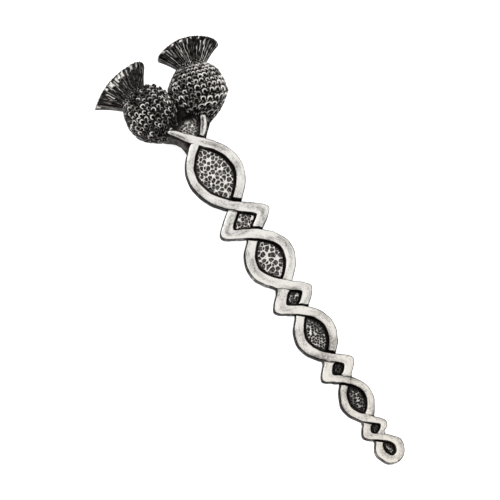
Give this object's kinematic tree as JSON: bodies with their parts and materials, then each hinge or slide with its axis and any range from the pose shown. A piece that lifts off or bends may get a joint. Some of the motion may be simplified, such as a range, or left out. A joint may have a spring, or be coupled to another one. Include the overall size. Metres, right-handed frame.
{
  "type": "kilt pin",
  "caption": "Cast kilt pin: paired thistle heads over a tapering shaft of interlaced bands with pebbled panels, and a wire pin held by hinge ears and a hook catch.",
  "frame": {"origin": "centre of the bounding box's footprint, on the surface the pin rests on", "axes": "+Y along the shaft towards the thistle heads, +Z out of the front face, +X across to the right seen from the front"},
  "size_m": [0.0294, 0.1009, 0.0123],
  "materials": {
    "pewter": "antiqued: polished on the raised faces, nearly black in the recesses",
    "steel_wire": "bright drawn wire"
  },
  "bodies": {
    "root": {"casting": "pewter", "brooch_pin": "steel_wire"}
  },
  "joints": []
}
